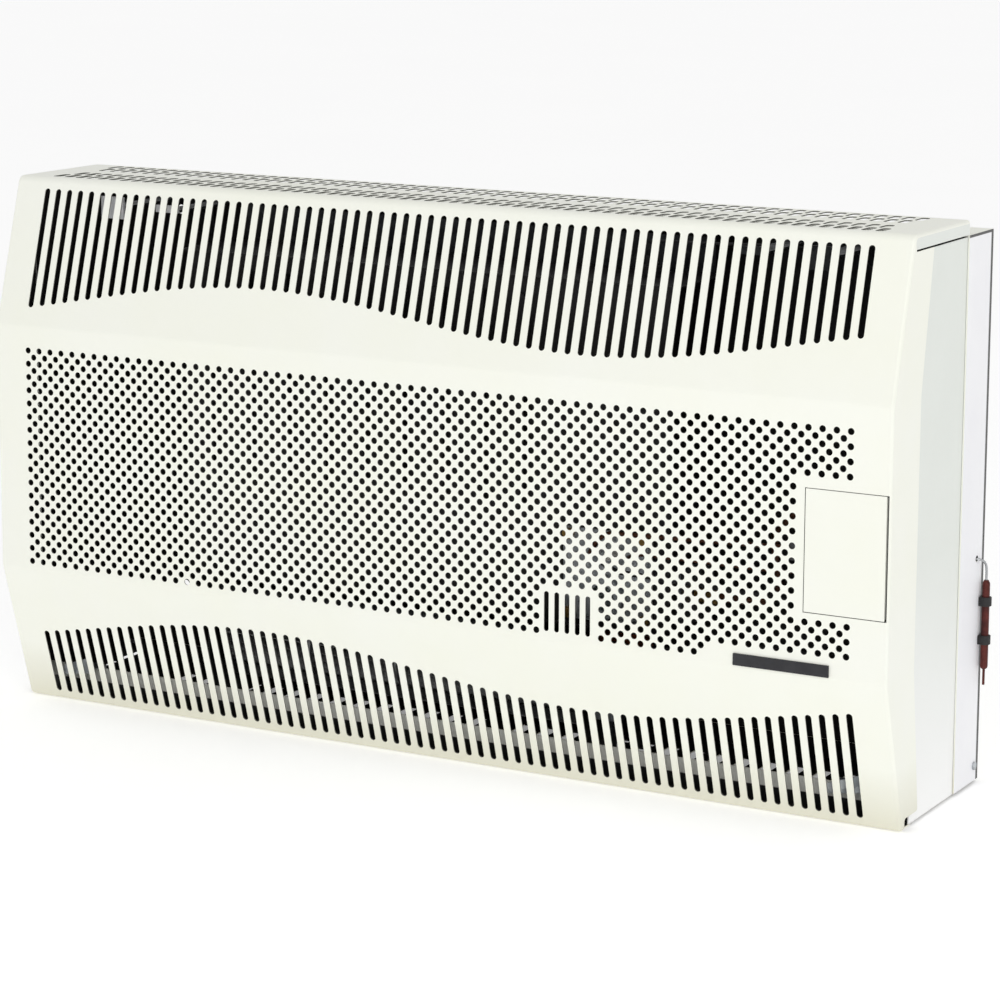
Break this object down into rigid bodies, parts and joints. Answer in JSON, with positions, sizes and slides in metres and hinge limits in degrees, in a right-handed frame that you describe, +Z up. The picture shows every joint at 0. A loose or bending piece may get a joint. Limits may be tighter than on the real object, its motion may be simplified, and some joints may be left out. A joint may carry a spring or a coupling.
{
  "type": "fan convector heater",
  "caption": "Wall-hung gas fan convector heater with a slotted, perforated cover, a control door, a balanced flue and a thermostat bulb.",
  "frame": {"origin": "on the underside, in the middle of the width, 110 mm behind the front face and 80 mm in front of the wall", "axes": "+X along the front to the right as seen from the room, +Y from the room towards the wall, +Z up"},
  "size_m": [0.8004, 0.2262, 0.44],
  "materials": {
    "cream_powder_coat": "satin, cream white powder coat",
    "side_powder_coat": "satin, pale grey powder coat",
    "zinc_sheet": "zinc plated sheet steel",
    "black_enamel": "heat resistant black enamel",
    "cast_aluminium": "as cast",
    "bright_steel": "ground steel",
    "brass": "turned brass",
    "copper": "drawn copper tube",
    "bulb_copper": "dark lacquered copper",
    "dark_nameplate": "gloss black",
    "black_plastic": "matt black",
    "red_plastic": "semi gloss",
    "white_ceramic": "glazed",
    "heat_glass": "clear heat resistant glass",
    "fibre_gasket": "woven mineral fibre",
    "magnet": "dull",
    "laminated_iron": "stacked laminations",
    "coil_varnish": "varnished copper winding",
    "lead_insulation": "silicone sleeve",
    "nylon_white": "natural nylon",
    "steel_tube": "drawn tube"
  },
  "bodies": {
    "casing": {"front_cover": "cream_powder_coat", "side_panel_left": "side_powder_coat", "side_panel_right": "side_powder_coat", "wall_frame": "cream_powder_coat", "base_pan": "cream_powder_coat", "hinge_brackets": "zinc_sheet", "door_magnet": "magnet", "nameplate": "dark_nameplate", "cover_hooks": "zinc_sheet", "cover_clips": "zinc_sheet", "casing_screws": "zinc_sheet", "combustion_chamber": "black_enamel", "chamber_brackets": "zinc_sheet", "heat_shield": "zinc_sheet", "burner_hatch": "zinc_sheet", "hatch_gasket": "fibre_gasket", "hatch_nuts": "brass", "sight_glass": "heat_glass", "sight_glass_ring": "zinc_sheet", "intake_collar": "zinc_sheet", "exhaust_pipe": "cast_aluminium", "flue_gasket": "fibre_gasket", "intake_duct": "zinc_sheet", "burner_tube": "steel_tube", "burner_flange": "zinc_sheet", "gas_injector": "brass", "pilot_burner": "brass", "thermocouple": "copper", "spark_electrode": "white_ceramic", "ignition_lead": "lead_insulation", "pilot_tube": "copper", "gas_valve": "cast_aluminium", "valve_bracket": "zinc_sheet", "control_panel": "black_enamel", "igniter_body": "black_plastic", "switch_body": "black_plastic", "gas_inlet_pipe": "brass", "union_nuts": "brass", "burner_feed_pipe": "copper", "capillary": "steel_tube", "sensing_bulb": "bulb_copper", "bulb_clips": "black_plastic", "fan_bushes": "brass", "fan_housing": "zinc_sheet", "motor_core": "laminated_iron", "motor_coil": "coil_varnish", "motor_bracket": "zinc_sheet", "fan_thermostat": "black_plastic", "terminal_block": "nylon_white", "wiring": "lead_insulation", "cable_gland": "black_plastic"},
    "door": {"control_door": "cream_powder_coat"},
    "knob_carrier": {"spring_cup": "bright_steel"},
    "knob": {"control_knob": "black_plastic", "valve_spindle": "bright_steel"},
    "igniter_button": {"igniter_button": "red_plastic"},
    "rocker": {"switch_rocker": "red_plastic"},
    "fan": {"fan_wheel": "cast_aluminium", "fan_shaft": "bright_steel"}
  },
  "joints": [
    {"name": "door_hinge", "type": "hinge", "parent": "casing", "child": "door", "pos_m": [0.389, -0.1065, 0.211], "axis": [0, 0, 1], "range_deg": [0, 100]},
    {"name": "knob_press", "type": "slide", "parent": "casing", "child": "knob_carrier", "axis": [0, 1, 0], "range_m": [0, 0.003], "stiffness_N_per_m": 500},
    {"name": "knob_turn", "type": "hinge", "parent": "knob_carrier", "child": "knob", "pos_m": [0.36, -0.09, 0.226], "axis": [0, -1, 0], "range_deg": [0, 270]},
    {"name": "igniter_press", "type": "slide", "parent": "casing", "child": "igniter_button", "axis": [0, 1, 0], "range_m": [0, 0.005], "stiffness_N_per_m": 500},
    {"name": "switch_rock", "type": "hinge", "parent": "casing", "child": "rocker", "pos_m": [0.371, -0.082, 0.187], "axis": [-1, 0, 0], "range_deg": [0, 16]},
    {"name": "fan_spin", "type": "hinge", "parent": "casing", "child": "fan", "pos_m": [-0.065, 0.004, 0.06], "axis": [1, 0, 0], "continuous": true}
  ]
}
